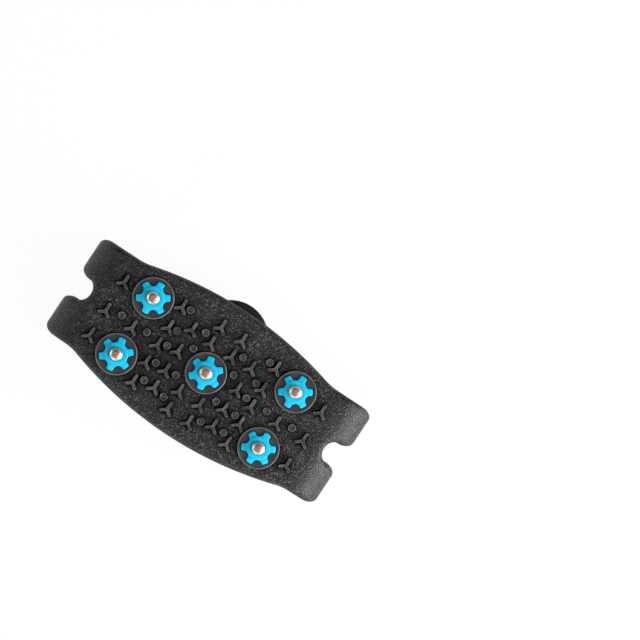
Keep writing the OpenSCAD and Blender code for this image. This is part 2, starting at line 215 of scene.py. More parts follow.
def fold(s, v, h):
    """Place in the part of a point of the pattern, h above the shoe side."""
    u = np.abs(s)
    turn = np.clip((u - BEND_X) / BEND_R, 0, math.pi)
    r = BEND_R - thickness(u) + h
    along = np.minimum(u, BEND_X) - np.maximum(u - S_FLOOR, 0)
    x = np.where(s < 0, -1.0, 1.0) * (along + r * np.sin(turn))
    return np.column_stack([x, v, BEND_Z + r * np.cos(turn)])


def contour_lines(values, level, s_axis, v_axis):
    """Lines on which a sampled field has one value, as a list of (points, closed)."""
    inside = values < level
    links, places = {}, {}

    def crossing(a, b):
        lo, hi = min(a, b), max(a, b)
        key = lo + hi
        if key not in places:
            da, db = values[lo] - level, values[hi] - level
            k = da / (da - db)
            places[key] = (mix(s_axis[lo[0]], s_axis[hi[0]], k), mix(v_axis[lo[1]], v_axis[hi[1]], k))
        return key

    count = inside[:-1, :-1].astype(int) + inside[1:, :-1] + inside[:-1, 1:] + inside[1:, 1:]
    for i, j in np.argwhere((count > 0) & (count < 4)).tolist():
        corners = [(i, j), (i + 1, j), (i + 1, j + 1), (i, j + 1)]
        cut = [crossing(a, b) for a, b in zip(corners, corners[1:] + corners[:1]) if inside[a] != inside[b]]
        for a, b in zip(cut[0::2], cut[1::2]):
            links.setdefault(a, []).append(b)
            links.setdefault(b, []).append(a)
    lines = []
    starts = [k for k in links if len(links[k]) == 1] + list(links)
    used = set()
    for start in starts:
        if start in used:
            continue
        line, here = [], start
        while here is not None:
            used.add(here)
            line.append(places[here])
            here = next((n for n in links[here] if n not in used), None)
        lines.append((np.array(line), len(links[start]) == 2))
    return lines


def resample(line, closed, step):
    """The same line with evenly spaced points."""
    pts = np.vstack([line, line[:1]]) if closed else line
    run = np.concatenate([[0], np.cumsum(np.hypot(*np.diff(pts, axis=0).T))])
    at = np.linspace(0, run[-1], max(8, round(run[-1] / step)) + 1)
    if closed:
        at = at[:-1]
    return np.column_stack([np.interp(at, run, pts[:, 0]), np.interp(at, run, pts[:, 1])])


class MeshParts:
    """Points and faces of one mesh, gathered from several stretches that share their border points."""

    def __init__(self):
        self.points, self.faces, self.count = [], [], 0

    def add(self, points, faces):
        self.points.append(np.asarray(points, float))
        self.faces += [tuple(i + self.count for i in f) for f in faces]
        self.count += len(points)

    def strip(self, ring_a, ring_b, closed):
        """Four-sided faces between two rings of the same number of points."""
        n = len(ring_a)
        last = n if closed else n - 1
        faces = [(i, (i + 1) % n, n + (i + 1) % n, n + i) for i in range(last)]
        self.add(np.vstack([ring_a, ring_b]), faces)

    def build(self, name):
        mesh = bpy.data.meshes.new(name)
        mesh.from_pydata((np.vstack(self.points) * MM).tolist(), [], self.faces)
        bm = bmesh.new()
        bm.from_mesh(mesh)
        bmesh.ops.remove_doubles(bm, verts=bm.verts, dist=WELD_DISTANCE)
        bmesh.ops.dissolve_degenerate(bm, edges=bm.edges, dist=SLIVER_DISTANCE)
        bmesh.ops.recalc_face_normals(bm, faces=bm.faces)
        bm.to_mesh(mesh)
        bm.free()
        return mesh


def circle(r, count=ROUND):
    a = np.linspace(0, 2 * math.pi, count, endpoint=False)
    return np.column_stack([r * np.cos(a), r * np.sin(a)])


def lug_outline(grow):
    """Outline of a lug, grown by some distance: round arm ends, straight sides, fillets between the arms."""
    half, fillet = LUG_W / 2 + grow, LUG_FILLET - grow
    arc = np.linspace(-math.pi / 2, math.pi / 2, 9)
    arms = [math.pi / 2, math.pi / 2 + LUG_SPLIT, 2.5 * math.pi - LUG_SPLIT, 2.5 * math.pi]
    out = []
    for here, ahead, reach in zip(arms[:-1], arms[1:], LUG_REACHES):
        between = (ahead - here) / 2
        end = np.column_stack([reach - LUG_W / 2 + half * np.cos(arc), half * np.sin(arc)])
        middle = np.array([(half + fillet) / math.tan(between), half + fillet])
        turn = np.linspace(0, 2 * between - math.pi, 5) - math.pi / 2
        inner = np.column_stack([middle[0] + fillet * np.cos(turn), middle[1] + fillet * np.sin(turn)])
        side = mix(end[-1], inner[0], np.linspace(0, 1, 4)[1:-1, None])
        arm = np.vstack([end, side, inner])
        out.append(arm @ np.array([[math.cos(here), math.sin(here)], [-math.sin(here), math.cos(here)]]))
    return np.vstack(out)


# Growth of the outline and height, from the flared foot over the rounded rim into the dished top
FOOT_LEVELS = [(0.03, 0.0), (0.01, 0.06), (0.0, 0.2), (-0.01, 0.5)]
LUG_LEVELS = FOOT_LEVELS + [
    (-0.04, 1.4), (-0.09, 1.62), (-0.16, 1.75), (-0.24, LUG_H), (-0.32, 1.79), (-0.42, 1.72), (-0.54, 1.69),
]
PIP_LEVELS = FOOT_LEVELS + [
    (-0.05, 1.25), (-0.10, 1.46), (-0.18, 1.56), (-0.28, PIP_H), (-0.38, 1.58), (-0.46, 1.51), (-0.54, 1.45),
    (-0.66, 1.43), (-1.20, 1.42),
]
PIP_DIP = 0.02


def tread_places(rows):
    return [(side * share * TREAD_X, along * TREAD_Y) for share, places in rows for along in places
            for side in (-1, 1)]


def depth_and_slope(s, v):
    """Depth below the outline of the pattern, and how it grows along s and along v."""
    e = SLOPE_STEP
    along_s = (pattern_distance(s - e, v) - pattern_distance(s + e, v)) / (2 * e)
    along_v = (pattern_distance(s, v - e) - pattern_distance(s, v + e)) / (2 * e)
    return -pattern_distance(s, v), along_s, along_v


def step_inwards(line, closed, depth):
    """The same line moved inwards until each of its points is as deep as depth(s, v) asks."""
    s, v = line.T.copy()
    for _ in range(INWARD_TRIES):
        now, along_s, along_v = depth_and_slope(s, v)
        if not closed:
            along_s[[0, -1]] = 0
        move = (depth(s, v) - now) / np.maximum(along_s ** 2 + along_v ** 2, LEAST_SLOPE)
        s, v = s + move * along_s, v + move * along_v
    return np.column_stack([s, v])


def regions(tri, walls):
    """Number of the region that each triangle lies in, where regions are parted by walls."""
    region = np.full(len(tri), -1)
    sides = {}
    for i, corners in enumerate(tri.tolist()):
        for a, b in zip(corners, corners[1:] + corners[:1]):
            sides.setdefault((min(a, b), max(a, b)), []).append(i)
    beside = [[] for _ in tri]
    for side, pair in sides.items():
        if side not in walls and len(pair) == 2:
            beside[pair[0]].append(pair[1])
            beside[pair[1]].append(pair[0])
    count = 0
    for first in range(len(tri)):
        if region[first] >= 0:
            continue
        region[first] = count
        waiting = [first]
        while waiting:
            for other in beside[waiting.pop()]:
                if region[other] < 0:
                    region[other] = count
                    waiting.append(other)
        count += 1
    return region


def add_flat(parts, ground, border, holes):
    """Flat of one side, inside its edge rounding: border, holes and an even grid, triangulated and folded."""
    points, edges = [], []

    def add_line(line, closed):
        first = len(points)
        points.extend(map(tuple, line))
        n = len(line)
        edges.extend((first + i, first + (i + 1) % n) for i in range(n if closed else n - 1))

    for line, closed in border:
        add_line(line, closed)
    for centre, outline in holes:
        add_line(outline + centre, True)
    s_grid = np.concatenate([np.arange(0, S_DISC - 0.6 * GRID_STEP, GRID_STEP), [S_DISC]])
    s_grid = np.concatenate([-s_grid[:0:-1], s_grid])
    s, v = (a.ravel() for a in np.meshgrid(s_grid, np.arange(V_LOW, V_HIGH, GRID_STEP), indexing="ij"))
    free = -pattern_distance(s, v) > rounding(ground, s, v) + GRID_MARGIN
    for centre, outline in holes:
        free &= np.hypot(s - centre[0], v - centre[1]) > np.hypot(*outline.T).max() + GRID_MARGIN
    points.extend(zip(s[free], v[free]))

    corners = [Vector(p) for p in points]
    coords, made, faces, _, lines, _ = delaunay_2d_cdt(corners, edges, [], 0, SAME_POINT, True)
    coords = np.array([tuple(c) for c in coords])
    tri = np.array(faces)
    mid = coords[tri].mean(axis=1)
    good = -pattern_distance(*mid.T) > rounding(ground, *mid.T) + EDGE_SLACK
    for centre, outline in holes:
        way = mid - centre
        angle = np.arctan2(outline[:, 1], outline[:, 0])
        order = np.argsort(angle)
        limit = np.interp(np.arctan2(way[:, 1], way[:, 0]), angle[order], np.hypot(*outline.T)[order],
                          period=2 * math.pi)
        good &= np.hypot(*way.T) > limit
    region = regions(tri, {tuple(sorted(e)) for e, line in zip(made, lines) if line})
    a, b = coords[tri[:, 1]] - coords[tri[:, 0]], coords[tri[:, 2]] - coords[tri[:, 0]]
    area = np.abs(a[:, 0] * b[:, 1] - a[:, 1] * b[:, 0])
    keep = np.bincount(region, weights=np.where(good, area, -area))[region] > 0
    height = thickness(np.abs(coords[:, 0])) if ground else np.zeros(len(coords))
    parts.add(fold(*coords.T, height), tri[keep].tolist())


def rubber_mesh():
    """Whole rubber moulding as one closed mesh."""
    s_axis = np.linspace(0, S_DISC, round(S_DISC / FIELD_STEP) + 1)
    v_axis = np.arange(V_LOW, V_HIGH, FIELD_STEP)
    grid_s, grid_v = np.meshgrid(s_axis, v_axis, indexing="ij")
    half = -pattern_distance(grid_s, grid_v)
    both = np.vstack([half[:0:-1], half])
    s_axis = np.concatenate([-s_axis[:0:-1], s_axis])
    parts = MeshParts()
    border = [(resample(line, closed, RING_STEP), closed)
              for line, closed in contour_lines(-both, 0.0, s_axis, v_axis)]

    lugs, pips = tread_places(LUG_ROWS), tread_places(PIP_ROWS)
    studs = [(x, y) for x, y, _ in STUDS]
    lug_foot = lug_outline(LUG_LEVELS[0][0])
    pip_foot = circle(PIP_R + PIP_LEVELS[0][0], PIP_ROUND)
    ground_holes = [(p, circle(SEAT_R + SEAT_LIP)) for p in studs]
    ground_holes += [(p, lug_foot) for p in lugs]
    ground_holes += [(p, pip_foot) for p in pips]
    shoe_holes = [(p, circle(RECESS_R + RECESS_LIP)) for p in studs]

    for ground, steps, holes in ((True, GROUND_STEPS, ground_holes), (False, SHOE_STEPS, shoe_holes)):
        edge = []
        for line, closed in border:
            ring, last = line, None
            for a in np.linspace(0, math.pi / 2, steps + 1):
                ring = step_inwards(ring, closed, lambda s, v: rounding(ground, s, v) * (1 - math.cos(a)))
                s, v = ring.T
                drop = rounding(ground, s, v) * (1 - math.sin(a))
                place = fold(s, v, thickness(np.abs(s)) - drop if ground else drop)
                if last is not None:
                    parts.strip(last, place, closed)
                last = place
            edge.append((ring, closed))
        add_flat(parts, ground, edge, holes)
    for line, closed in border:
        s, v = step_inwards(line, closed, lambda s, v: 0 * s).T
        high = thickness(np.abs(s)) - rounding(True, s, v)
        parts.strip(fold(s, v, high), fold(s, v, rounding(False, s, v)), closed)

    def add_stack(at, levels):
        """Rings of outline and level, one above the other, at a place on the plate."""
        rings = [np.column_stack([outline + at, np.full(len(outline), z)]) for outline, z in levels]
        for a, b in zip(rings[:-1], rings[1:]):
            parts.strip(a, b, True)
        return rings[-1]

    def add_cap(ring, drop=0.0):
        middle = ring.mean(axis=0) - [0, 0, drop]
        n = len(ring)
        parts.add(np.vstack([ring, middle]), [(i, (i + 1) % n, n) for i in range(n)])

    seat_levels = [(circle(r), z) for r, z in SEAT_PROFILE]
    for at in studs:
        add_stack(at, seat_levels)
    lug_levels = [(lug_outline(grow), PLATE_T + rise) for grow, rise in LUG_LEVELS]
    for at in lugs:
        add_cap(add_stack(at, lug_levels))
    pip_levels = [(circle(PIP_R + grow, PIP_ROUND), PLATE_T + rise) for grow, rise in PIP_LEVELS]
    for at in pips:
        add_cap(add_stack(at, pip_levels), PIP_DIP)
    return parts.build("rubber_harness")


# Stud meshes, about the stud's own axis
GEAR_TEETH, GEAR_R, VALLEY_R, VALLEY_FLOOR, TOOTH_CORNER = 6, 6.7, 1.85, 4.6, 0.55
HUB_R, TOOTH_Z, HUB_Z, POCKET_Z, DISC_Z = 4.55, 6.6, 7.0, 4.9, 5.8
DISC_R, DISC_BASE, LIP_R, LIP_H, NECK_R, NECK_Z, SHANK_R = 8.2, 3.45, 0.25, 0.2, 4.5, 1.39, 1.94
COLLAR_R, COLLAR_Z, COLLAR_TOP = 2.55, 6.6, 7.5
POCKET_GAP, COLLAR_GAP, FACE_GAP = 0.38, 0.32, 0.04
LIP_TURN = math.radians(155)

# Rounded edges of the gear as (step in, drop) from the sharp corner
TOOTH_EDGE = [(0.0, 0.18), (0.05, 0.06), (0.17, 0.0)]
HUB_EDGE = [(0.0, 0.16), (0.05, 0.05), (0.16, 0.0)]
BORE_EDGE = [(0.14, 0.0), (0.04, 0.04), (0.0, 0.14)]
LOW_EDGE, DISC_EDGE, POCKET_EDGE = 0.1, 0.15, 0.08


def gear_outline():
    """Closed outline of the gear: round valleys, straight tooth sides, slightly rounded tooth corners."""
    pitch = 2 * math.pi / GEAR_TEETH
    half = pitch / 2
    middle = VALLEY_FLOOR + VALLEY_R
    lean = np.array([math.cos(half), math.sin(half)])
    mouth = np.array([middle - VALLEY_R * math.sin(half), VALLEY_R * math.cos(half)])
    b = mouth @ lean
    run = -b + math.sqrt(b * b - mouth @ mouth + GEAR_R ** 2)
    corner = mouth + lean * run
    corner_angle = math.atan2(corner[1], corner[0])
    side_end = corner - lean * TOOTH_CORNER
    tip_start = corner_angle + TOOTH_CORNER / GEAR_R
    tip = GEAR_R * np.array([math.cos(tip_start), math.sin(tip_start)])
    k = np.linspace(0, 1, 5)[:, None]
    bend = side_end * (1 - k) ** 2 + 2 * corner * k * (1 - k) + tip * k * k
    arc = np.linspace(math.pi, math.pi / 2 + half, 9)
    floor = np.column_stack([middle + VALLEY_R * np.cos(arc), VALLEY_R * np.sin(arc)])
    side = mix(mouth, side_end, np.linspace(0, 1, 4)[1:-1, None])
    tips = np.linspace(tip_start, half, 4)[1:]
    crown = GEAR_R * np.column_stack([np.cos(tips), np.sin(tips)])
    upper = np.vstack([floor, side, bend, crown])
    lower = upper[-2:0:-1] * [1, -1]
    valley = np.vstack([lower, upper])
    out = []
    for i in range(GEAR_TEETH):
        a = math.pi / 2 + (i + 0.5) * pitch
        turn = np.array([[math.cos(a), math.sin(a)], [-math.sin(a), math.cos(a)]])
        out.append(valley @ turn)
    return np.vstack(out)


def inset(outline, by, least=0.0):
    """Outline moved inwards by a distance, and kept at some least radius."""
    ahead = np.roll(outline, -1, axis=0) - outline
    ahead /= np.hypot(*ahead.T)[:, None]
    behind = np.roll(ahead, 1, axis=0)
    normal = np.column_stack([ahead[:, 1] + behind[:, 1], -ahead[:, 0] - behind[:, 0]])
    normal /= np.hypot(*normal.T)[:, None]
    moved = outline - normal * by
    r = np.hypot(*moved.T)
    return moved * (np.maximum(r, least) / r)[:, None]


def stacked(rings, closed=True):
    """Mesh parts from rings of (outline, level), the last joined to the first if closed."""
    parts = MeshParts()
    solid = [np.column_stack([outline, np.full(len(outline), z)]) for outline, z in rings]
    for a, b in zip(solid, solid[1:] + solid[:1] if closed else solid[1:]):
        parts.strip(a, b, True)
    return parts


def follow(outline, r):
    """Circle of radius r with a point in the direction of each point of an outline."""
    return outline * (r / np.hypot(*outline.T))[:, None]


def gear_mesh():
    edge = gear_outline()
    ledge = HUB_R + 0.02
    bore = COLLAR_R + COLLAR_GAP
    under, seat = POCKET_Z + FACE_GAP, COLLAR_Z - FACE_GAP
    rings = [
        (follow(edge, SHANK_R), under),
        (inset(edge, LOW_EDGE, ledge), under),
        (edge, under + LOW_EDGE),
        *[(inset(edge, step, ledge), TOOTH_Z - drop) for step, drop in TOOTH_EDGE],
        (follow(edge, HUB_R + 0.01), TOOTH_Z),
        (follow(edge, HUB_R), TOOTH_Z + 0.04),
        *[(follow(edge, HUB_R - step), HUB_Z - drop) for step, drop in HUB_EDGE],
        *[(follow(edge, bore + step), HUB_Z - drop) for step, drop in BORE_EDGE],
        (follow(edge, bore), seat),
        (follow(edge, SHANK_R), seat),
    ]
    return stacked(rings).build("gear")


def disc_mesh():
    edge = inset(gear_outline(), -POCKET_GAP)
    lip_z = DISC_Z + LIP_H - LIP_R
    lip_foot = DISC_R - 2 * LIP_R
    lip = [(follow(edge, DISC_R - LIP_R * (1 - math.cos(a))), lip_z + LIP_R * math.sin(a))
           for a in np.linspace(0, LIP_TURN, 9)]
    rings = [
        (follow(edge, SHANK_R), NECK_Z),
        (follow(edge, NECK_R - LOW_EDGE), NECK_Z),
        (follow(edge, NECK_R), NECK_Z + LOW_EDGE),
        (follow(edge, NECK_R), DISC_BASE),
        (follow(edge, DISC_R - DISC_EDGE), DISC_BASE),
        (follow(edge, DISC_R), DISC_BASE + DISC_EDGE),
        *lip,
        (follow(edge, lip_foot - 0.06), DISC_Z + 0.01),
        (follow(edge, lip_foot - 0.16), DISC_Z),
        (inset(edge, -POCKET_EDGE), DISC_Z),
        (edge, DISC_Z - POCKET_EDGE),
        (edge, POCKET_Z),
        (follow(edge, SHANK_R), POCKET_Z),
    ]
    return stacked(rings).build("disc")


def lathe(name, profile, closed, count=64):
    """Turned mesh from (radius, level) points; an open profile ends in small caps on the axis."""
    parts = stacked([(circle(r, count), z) for r, z in profile], closed)
    if not closed:
        for r, z in (profile[0], profile[-1]):
            ring = np.column_stack([circle(r, count), np.full(count, z)])
            cap = [(i, (i + 1) % count, count) for i in range(count)]
            parts.add(np.vstack([ring, [[0, 0, z]]]), cap)
    return parts.build(name)


# Turned profiles as (radius, level)
SPIKE_PROFILE = [
    (0.4, 0.16), (1.6, 0.18), (2.45, 0.20), (2.62, 0.23), (2.68, 0.30), (1.90, 0.75), (1.90, COLLAR_Z),
    (2.45, COLLAR_Z), (COLLAR_R, 6.70), (COLLAR_R, 7.34), (2.53, 7.43), (2.47, 7.49), (2.43, COLLAR_TOP),
    (2.40, 7.54), (2.40, 8.4), (2.40, 9.20), (2.38, 9.42), (2.32, 9.64), (2.21, 9.85), (2.06, 10.04),
    (1.87, 10.20), (1.68, 10.31), (1.54, 10.37), (1.43, 10.40), (1.33, 10.40), (1.29, 10.37), (1.29, 8.40),
    (0.4, 8.40),
]
TIP_PROFILE = [
    (0.4, 8.44), (1.25, 8.44), (1.25, 10.50), (1.22, 10.64), (1.13, 10.78), (0.96, 10.87), (0.72, 10.90),
    (0.3, 10.87),
]
WASHER_PROFILE = [
    (2.74, 0.19), (2.80, 0.15), (5.85, 0.15), (5.96, 0.19), (6.0, 0.30), (6.0, 1.2), (5.96, 1.31),
    (5.85, 1.35), (SHANK_R, 1.35), (SHANK_R, 0.79),
]


# Materials
class Nodes:
    """Short calls for building one material's node tree."""

    def __init__(self, name):
        self.material = bpy.data.materials.new(name)
        self.material.use_nodes = True
        self.tree = self.material.node_tree
        self.shader = self.tree.nodes["Principled BSDF"]
        self.place = self.add("ShaderNodeTexCoord").outputs["Object"]

    def add(self, kind, **settings):
        node = self.tree.nodes.new(kind)
        for key, value in settings.items():
            setattr(node, key, value)
        return node

    def link(self, source, target):
        self.tree.links.new(source, target)

    def put(self, value, socket):
        """Give an input a number, a colour or the output of another node."""
        if isinstance(value, tuple):
            socket.default_value = (*value, 1)
        elif isinstance(value, (int, float)):
            socket.default_value = value
        else:
            self.link(value, socket)

    def noise(self, scale, detail=2.0, roughness=0.5):
        node = self.add("ShaderNodeTexNoise")
        node.inputs["Scale"].default_value = scale
        node.inputs["Detail"].default_value = detail
        node.inputs["Roughness"].default_value = roughness
        self.link(self.place, node.inputs["Vector"])
        return node.outputs["Fac"]

    def ramp(self, value, *stops):
        """Two colours, each with its place from 0 to 1, and the blend between them."""
        node = self.add("ShaderNodeValToRGB")
        self.link(value, node.inputs["Fac"])
        for element, (at, colour) in zip(node.color_ramp.elements, stops):
            element.position = at
            element.color = (*colour, 1)
        return node.outputs["Color"]

    def spread(self, value, low, high, from_low=0.3, from_high=0.7):
        """Value moved from one range to another, and kept inside it."""
        node = self.add("ShaderNodeMapRange")
        self.link(value, node.inputs["Value"])
        limits = {"From Min": from_low, "From Max": from_high, "To Min": low, "To Max": high}
        for key, number in limits.items():
            node.inputs[key].default_value = number
        return node.outputs["Result"]

    def mixed(self, share, a, b):
        """Colour a, with a share of colour b."""
        node = self.add("ShaderNodeMix", data_type="RGBA")
        for key, value in (("Factor_Float", share), ("A_Color", a), ("B_Color", b)):
            self.put(value, next(i for i in node.inputs if i.identifier == key))
        return next(o for o in node.outputs if o.identifier == "Result_Color")

    def math(self, operation, a, b=0.0):
        node = self.add("ShaderNodeMath", operation=operation)
        for socket, value in zip(node.inputs, (a, b)):
            self.put(value, socket)
        return node.outputs["Value"]

    def bump(self, height, strength, distance, after=None):
        node = self.add("ShaderNodeBump")
        node.inputs["Distance"].default_value = distance
        self.put(strength, node.inputs["Strength"])
        self.link(height, node.inputs["Height"])
        if after is not None:
            self.link(after, node.inputs["Normal"])
        return node.outputs["Normal"]

    def rings(self):
        """Distance from the stud's axis, in metres."""
        split = self.add("ShaderNodeSeparateXYZ")
        self.link(self.place, split.inputs["Vector"])
        x, y = split.outputs["X"], split.outputs["Y"]
        square = self.math("ADD", self.math("MULTIPLY", x, x), self.math("MULTIPLY", y, y))
        return self.math("SQRT", square)

    def painted(self, name):
        """Value that the mesh carries at each of its points."""
        return self.add("ShaderNodeAttribute", attribute_name=name).outputs["Fac"]

    def facing_up(self):
        """How far the smooth surface faces up or down, from 0 on an upright wall to 1."""
        split = self.add("ShaderNodeSeparateXYZ")
        self.link(self.add("ShaderNodeTexCoord").outputs["Normal"], split.inputs["Vector"])
        return self.math("ABSOLUTE", split.outputs["Z"])

    def openness(self, reach):
        """How open the surface is within a short reach, from 0 in a crevice to 1."""
        node = self.add("ShaderNodeAmbientOcclusion", samples=8, only_local=True)
        node.inputs["Distance"].default_value = reach
        return self.spread(node.outputs["AO"], 0.0, 1.0, 0.55, 0.97)

    def finish(self, colour, roughness, normal, **constants):
        """The material, with its shader's inputs linked and the other sockets at fixed values."""
        for value, key in ((colour, "Base Color"), (roughness, "Roughness"), (normal, "Normal")):
            self.link(value, self.shader.inputs[key])
        for key, value in constants.items():
            self.shader.inputs[key.replace("_", " ")].default_value = value
        return self.material


# Share of the tread's grain on the bands and on the instep disc, against 1 on the tread; on the instep disc,
# which lies under the plate, the low value also darkens it as painted shade
BAND_GRAIN, DISC_GRAIN_AND_SHADE = 0.78, 0.3

# Crevices, where the pale specks fade as painted shade and the face gets smoother: how far the rubber looks
# for a near wall; heights of the specks and the grain; all in metres
CREVICE_REACH, SPECK_RELIEF, GRAIN_RELIEF = 0.0018, 0.00030, 0.00040


def rubber_material():
    """Black rubber: moulded grain with pale specks, cloudy patches, a worn grey with a painted highlight on
    the tread's tops, and painted shade on walls, in crevices and on the instep disc.
    """
    n = Nodes("rubber_black")
    grain = n.noise(1450, 2.0, 0.6)
    specks = n.noise(1900, 1.0, 0.5)
    clouds = n.noise(70, 3.0, 0.6)
    patches = n.noise(55, 2.0, 0.5)
    # Painted shade in crevices: near walls the pale specks fade, and the grain and roughness get smoother
    unshaded_and_grainy = n.openness(CREVICE_REACH)
    # On the instep disc the low grain value also fades the pale specks, as painted shade
    coarse_and_disc_shade = n.painted("coarseness_and_disc_shade")
    base = n.ramp(grain, (0.35, (0.0035, 0.0029, 0.0036)), (0.65, (0.0045, 0.0038, 0.0047)))
    cloudy = n.mixed(n.spread(clouds, 0.0, 0.25), base, (0.009, 0.0078, 0.009))
    thick = n.math("MULTIPLY", n.spread(patches, 0.35, 1.0), n.math("MULTIPLY", coarse_and_disc_shade, unshaded_and_grainy))
    speck_share = n.math("MULTIPLY", n.spread(specks, 0.0, 1.0, 0.57, 0.65), thick)
    speckled = n.mixed(speck_share, cloudy, (0.135, 0.121, 0.135))
    use = n.spread(n.noise(210, 2.0, 0.6), 0.35, 1.0, 0.40, 0.58)
    uneven = n.math("MULTIPLY", n.spread(specks, 0.6, 1.0), use)
    # Painted highlight together with the worn grey: lighter tops of lugs and pips, brightest on their rims
    rubbed_and_highlit = n.math("MULTIPLY", n.painted("wear_and_highlight"), uneven)
    faced = n.mixed(rubbed_and_highlit, speckled, (0.140, 0.132, 0.140))
    # Painted shade: steep walls marked unlit_wall are darkened towards black and made rougher
    wall = n.spread(n.facing_up(), 1.0, 0.0, 0.20, 0.60)
    shaded_dull_wall = n.math("MULTIPLY", wall, n.painted("unlit_wall"))
    colour = n.mixed(shaded_dull_wall, faced, (0.004, 0.0037, 0.004))
    satin = n.math("ADD", n.spread(grain, 0.30, 0.42), n.spread(coarse_and_disc_shade, 0.12, 0.0, BAND_GRAIN, 1.0))
    sheen = n.math("MULTIPLY", satin, n.spread(unshaded_and_grainy, 0.4, 1.0, 0.0, 1.0))
    roughness = n.math("ADD", sheen, n.math("MULTIPLY", shaded_dull_wall, 0.6))
    relief = n.math("MULTIPLY", coarse_and_disc_shade, n.spread(unshaded_and_grainy, 0.1, 1.0, 0.0, 1.0))
    normal = n.bump(specks, relief, SPECK_RELIEF, n.bump(grain, relief, GRAIN_RELIEF))
    return n.finish(colour, roughness, normal, Specular_IOR_Level=0.38)


def carrier_material():
    """Black plastic with a hazy face and a paler lip, which is a painted highlight on the rounded rim."""
    n = Nodes("carrier_black")
    haze = n.noise(260, 4.0, 0.6)
    fine = n.noise(3000, 2.0)
    face = n.ramp(haze, (0.3, (0.029, 0.026, 0.029)), (0.75, (0.056, 0.052, 0.057)))
    # Painted highlight: a paler ring on the rounded lip
    lip = n.spread(n.rings(), 0.0, 1.0, (DISC_R - 0.5) * MM, (DISC_R - 0.3) * MM)
    lip_highlight = n.math("MULTIPLY", lip, n.spread(haze, 0.5, 0.95))
    colour = n.mixed(lip_highlight, face, (0.170, 0.163, 0.170))
    roughness = n.spread(haze, 0.36, 0.52)
    normal = n.bump(fine, 0.2, 0.00008)
    return n.finish(colour, roughness, normal, Specular_IOR_Level=0.5)


def gear_material():
    """Blue moulded plastic, satin, with faint clouds."""
    n = Nodes("gear_cyan")
    clouds = n.noise(220, 3.0, 0.5)
    fine = n.noise(2600, 2.0)
    colour = n.ramp(clouds, (0.3, (0.006, 0.448, 0.678)), (0.7, (0.012, 0.532, 0.780)))
    roughness = n.spread(clouds, 0.36, 0.48)
    normal = n.bump(fine, 0.15, 0.00006)
    return n.finish(colour, roughness, normal, Specular_IOR_Level=0.25)


def turned_metal(name, dark, light, smooth, rough, pitch, depth, tip_tint=None):
    """Turned metal: fine rings about the axis, stains, and a tan tint towards a set-in tip."""
    n = Nodes(name)
    stains = n.noise(420, 4.0, 0.6)
    wobble = n.math("MULTIPLY", n.noise(900, 2.0), 0.00008)
    lines = n.math("SINE", n.math("MULTIPLY", n.math("ADD", n.rings(), wobble), 2 * math.pi / pitch))
    colour = n.ramp(stains, (0.3, dark), (0.65, light))
    # Tan tint towards the set-in tip, by distance from the axis
    if tip_tint:
        tint, inner, outer = tip_tint
        colour = n.mixed(n.spread(n.rings(), 1.0, 0.0, inner * MM, outer * MM), colour, tint)
    roughness = n.spread(stains, rough, smooth)
    normal = n.bump(lines, 0.25, depth)
    return n.finish(colour, roughness, normal, Metallic=1.0)


def carbide_material():
    """Sintered hard metal: brown, gritty and stained."""
    n = Nodes("tip_carbide")
    grit = n.noise(3800, 3.0, 0.7)
    stains = n.noise(700, 3.0)
    sintered = n.ramp(grit, (0.35, (0.21, 0.134, 0.106)), (0.7, (0.42, 0.28, 0.232)))
    colour = n.mixed(n.spread(stains, 0.0, 0.5), sintered, (0.34, 0.25, 0.22))
    roughness = n.spread(grit, 0.45, 0.65)
    normal = n.bump(grit, 0.4, 0.00006)
    return n.finish(colour, roughness, normal, Metallic=0.5)


SHARP_ANGLE = math.radians(40)


def show(mesh, name, material):
    """Piece of the visual model from a mesh and its material."""
    mesh.shade_smooth()
    mesh.set_sharp_from_angle(angle=SHARP_ANGLE)
    mesh.materials.clear()
    mesh.materials.append(material)
    piece = bpy.data.objects.new(name, mesh)
    bpy.context.scene.collection.objects.link(piece)
    return piece


def paint(mesh, name, values):
    """Give a mesh a named value from 0 to 1 at each of its points, for its material to read."""
    layer = mesh.attributes.new(name, "FLOAT", "POINT")
    layer.data.foreach_set("value", values.astype(np.float32))


# Rubber moulding
rubber = rubber_mesh()
places = np.empty(len(rubber.vertices) * 3, np.float32)
rubber.vertices.foreach_get("co", places)
places = places.reshape(-1, 3) / MM
rise = places[:, 2] - PLATE_T

# Lighter tops, partly worn and partly a painted highlight: most on the rims of lugs and pips, less in their
# dishes
LUG_DISH_SHARE, PIP_DISH_SHARE = 0.5, 0.15
on_lug = rise > PIP_H + 0.04
lug_rim = ease((rise - LUG_H + 0.12) / 0.1)
pip_rim = ease((rise - PIP_H + 0.16) / 0.14)
dish_share = np.where(on_lug, LUG_DISH_SHARE, PIP_DISH_SHARE)
top_wear_and_highlight = mix(dish_share, 1.0, np.where(on_lug, lug_rim, pip_rim))
paint(rubber, "wear_and_highlight", ease((rise - 1.2) / 0.15) * top_wear_and_highlight)

# Grain: full on the plate between the bends, finer on the bands and finest on the instep disc, where its
# fewer pale specks are painted shade under the plate
between_bends = ease((BEND_X + 1 - np.abs(places[:, 0])) / 3)
on_plate = between_bends * ease((places[:, 2] + 8) / 4)
from_disc = np.hypot(places[:, 0], places[:, 1] - INSTEP_Y) - INSTEP_R
harness_grain_and_shade = mix(DISC_GRAIN_AND_SHADE, BAND_GRAIN, ease(from_disc / 8))
paint(rubber, "coarseness_and_disc_shade", mix(harness_grain_and_shade, 1.0, on_plate))

